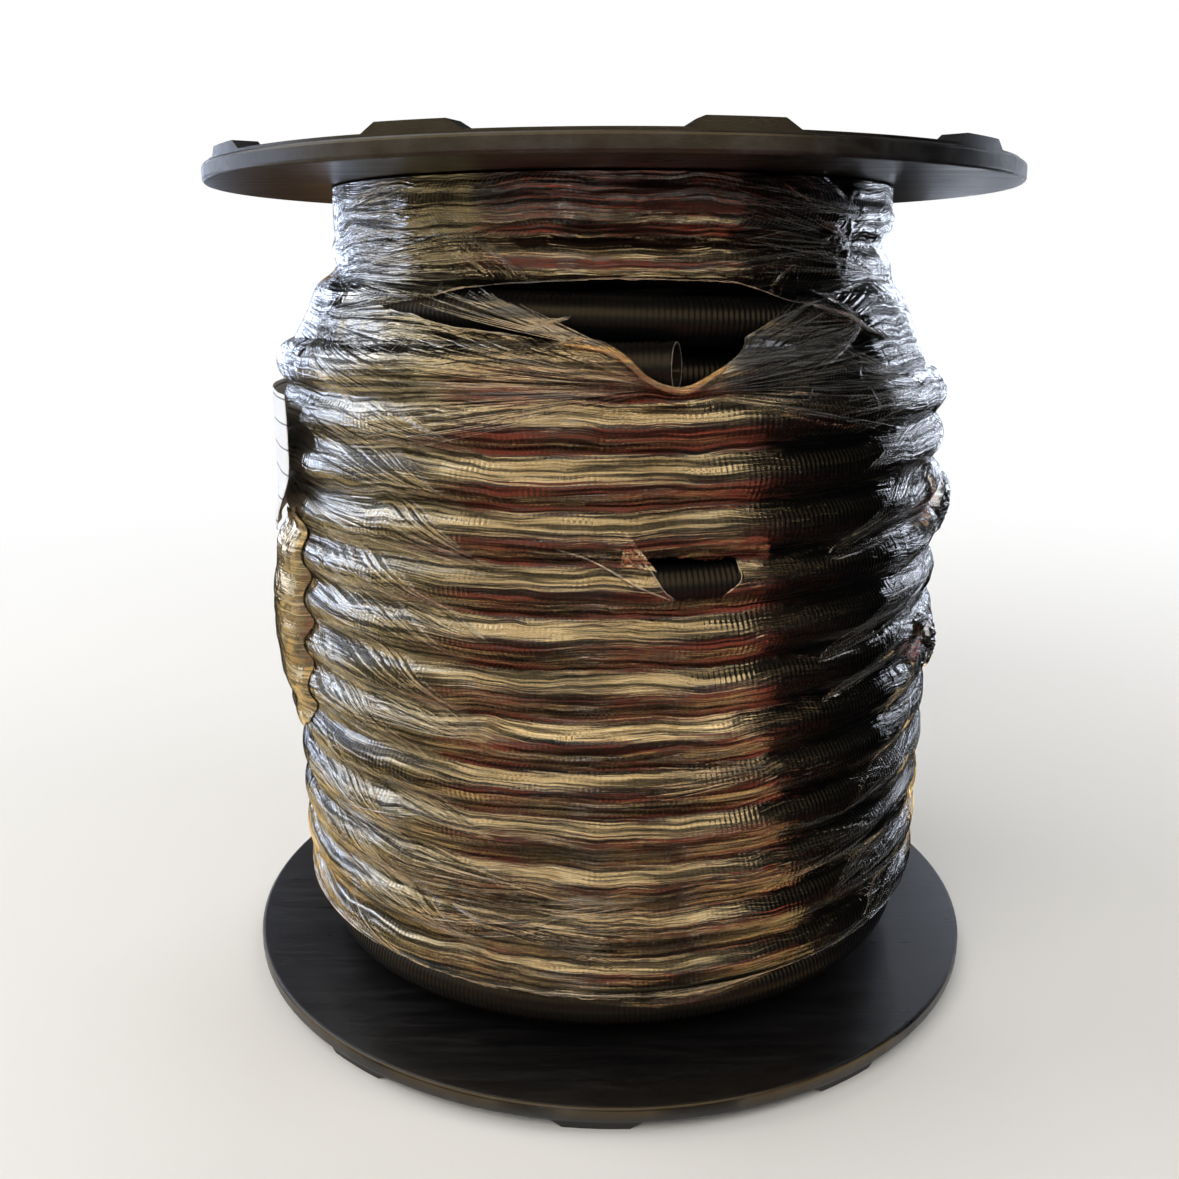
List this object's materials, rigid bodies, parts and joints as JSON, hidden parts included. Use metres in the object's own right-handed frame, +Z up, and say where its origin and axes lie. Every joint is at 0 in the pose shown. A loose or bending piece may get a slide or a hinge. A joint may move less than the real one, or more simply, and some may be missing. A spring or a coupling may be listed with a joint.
{
  "type": "wire spool",
  "caption": "Two-flange reel with rim lugs, wound with black ribbed flexible tubing under torn stretch film, with an arbor hole through its axis.",
  "frame": {"origin": "on the reel's axis, in the plane that the lower flange's lugs stand on", "axes": "+Z up along the reel's axis, -Y towards the cut end of the tube at the front, +X to the right seen from the front"},
  "size_m": [0.3048, 0.3048, 0.318],
  "materials": {
    "flange_plastic": "satin moulded polystyrene, fine scuffs",
    "barrel_plastic": "extruded plastic tube",
    "bush_plastic": "moulded nylon",
    "zinc_steel": "zinc plated",
    "tube_plastic": "glossy black ribbed tubing",
    "stretch_film": "clear stretch film, wrinkled",
    "label_paper": "plain white label"
  },
  "bodies": {
    "root": {"lower_flange": "flange_plastic", "upper_flange": "flange_plastic", "barrel": "barrel_plastic", "lower_arbor_bush": "bush_plastic", "upper_arbor_bush": "bush_plastic", "tie_rods": "zinc_steel", "lower_tie_washers": "zinc_steel", "upper_tie_washers": "zinc_steel", "lower_tie_nuts": "zinc_steel", "upper_tie_nuts": "zinc_steel", "inner_layers": "tube_plastic", "neck_layers": "tube_plastic", "second_layer": "tube_plastic", "outer_layer": "tube_plastic", "film_body": "stretch_film", "film_neck": "stretch_film", "side_label": "label_paper"}
  },
  "joints": []
}
